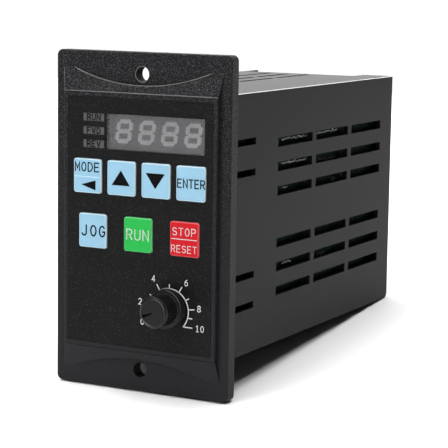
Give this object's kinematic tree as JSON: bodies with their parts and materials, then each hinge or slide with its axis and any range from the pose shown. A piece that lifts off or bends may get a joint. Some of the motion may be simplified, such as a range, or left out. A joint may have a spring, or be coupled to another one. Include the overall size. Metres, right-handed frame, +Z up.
{
  "type": "variable frequency drive",
  "caption": "Panel-mounted motor speed drive: flanged front with keys, four-digit display and speed knob on a slotted deep case with rear screw terminals.",
  "frame": {"origin": "on the flange's rear mounting face, midway between the two panel screw holes", "axes": "+Y from the panel back into the case, +X right seen from the front, +Z up"},
  "size_m": [0.0778, 0.1789, 0.1324],
  "materials": {
    "panel_black": "moulded, fine spark texture",
    "label_film": "printed matt film",
    "smoked_window": "smoked, smooth",
    "display_grey": "moulded face with pale segments",
    "lens_grey": "translucent light bar",
    "led_clear": "clear epoxy",
    "component_black": "moulded epoxy",
    "board_green": "solder mask",
    "steel": "zinc plated",
    "pot_metal": "pressed metal",
    "aluminium": "extruded, satin",
    "knob_black": "moulded satin",
    "pointer_grey": "dull inlay",
    "case_black": "moulded, smooth matt",
    "terminal_black": "moulded nylon",
    "brass": "nickel free, turned",
    "capacitor_sleeve": "shrink sleeve",
    "ferrite": "sintered ferrite",
    "winding_tape": "polyester tape",
    "fuse_glass": "clear",
    "copper_wire": "enamelled copper",
    "varistor_blue": "dipped epoxy",
    "film_yellow": "potted box",
    "ceramic": "ceramic body",
    "ribbon_grey": "soft insulation",
    "key_blue": "moulded, semi-matt",
    "key_green": "moulded, semi-matt",
    "key_red": "moulded, semi-matt"
  },
  "bodies": {
    "housing": {"front_panel": "panel_black", "front_label": "label_film", "display_window": "smoked_window", "led_display": "display_grey", "indicator_lenses": "lens_grey", "indicator_leds": "led_clear", "switch_bodies": "component_black", "keypad_board": "board_green", "keypad_screws": "steel", "control_chips": "component_black", "potentiometer": "pot_metal", "pot_washer": "steel", "pot_nut": "steel", "main_case": "case_black", "rear_panel": "case_black", "rear_screws": "steel", "terminal_block": "terminal_black", "terminal_clamps": "steel", "terminal_screws": "steel", "terminal_board": "board_green", "power_board": "board_green", "heat_sink": "aluminium", "board_spacers": "brass", "spacer_screws": "steel", "power_module": "component_black", "bridge_rectifier": "component_black", "bulk_capacitors": "capacitor_sleeve", "transformer_core": "ferrite", "transformer_winding": "winding_tape", "relay": "component_black", "choke_core": "ferrite", "choke_winding": "copper_wire", "fuse": "fuse_glass", "fuse_clips": "steel", "varistor": "varistor_blue", "film_capacitors": "film_yellow", "shunt_resistors": "ceramic", "microcontroller": "component_black", "ribbon_headers": "component_black", "ribbon_cable": "ribbon_grey"},
    "speed_knob": {"knob": "knob_black", "knob_pointer": "pointer_grey", "pot_shaft": "aluminium"},
    "mode_key": {"key_mode": "key_blue", "plunger_mode": "component_black"},
    "up_key": {"key_up": "key_blue", "plunger_up": "component_black"},
    "down_key": {"key_down": "key_blue", "plunger_down": "component_black"},
    "enter_key": {"key_enter": "key_blue", "plunger_enter": "component_black"},
    "jog_key": {"key_jog": "key_blue", "plunger_jog": "component_black"},
    "run_key": {"key_run": "key_green", "plunger_run": "component_black"},
    "stop_key": {"key_stop": "key_red", "plunger_stop": "component_black"}
  },
  "joints": [
    {"name": "knob_turn", "type": "hinge", "parent": "housing", "child": "speed_knob", "pos_m": [0.0141, 0, -0.03115], "axis": [0, 1, 0], "range_deg": [-22, 248]},
    {"name": "mode_press", "type": "slide", "parent": "housing", "child": "mode_key", "axis": [0, 1, 0], "range_m": [0, 0.0006], "stiffness_N_per_m": 900, "springref_m": -0.0005},
    {"name": "up_press", "type": "slide", "parent": "housing", "child": "up_key", "axis": [0, 1, 0], "range_m": [0, 0.0006], "stiffness_N_per_m": 900, "springref_m": -0.0005},
    {"name": "down_press", "type": "slide", "parent": "housing", "child": "down_key", "axis": [0, 1, 0], "range_m": [0, 0.0006], "stiffness_N_per_m": 900, "springref_m": -0.0005},
    {"name": "enter_press", "type": "slide", "parent": "housing", "child": "enter_key", "axis": [0, 1, 0], "range_m": [0, 0.0006], "stiffness_N_per_m": 900, "springref_m": -0.0005},
    {"name": "jog_press", "type": "slide", "parent": "housing", "child": "jog_key", "axis": [0, 1, 0], "range_m": [0, 0.0006], "stiffness_N_per_m": 900, "springref_m": -0.0005},
    {"name": "run_press", "type": "slide", "parent": "housing", "child": "run_key", "axis": [0, 1, 0], "range_m": [0, 0.0006], "stiffness_N_per_m": 900, "springref_m": -0.0005},
    {"name": "stop_press", "type": "slide", "parent": "housing", "child": "stop_key", "axis": [0, 1, 0], "range_m": [0, 0.0006], "stiffness_N_per_m": 900, "springref_m": -0.0005}
  ]
}
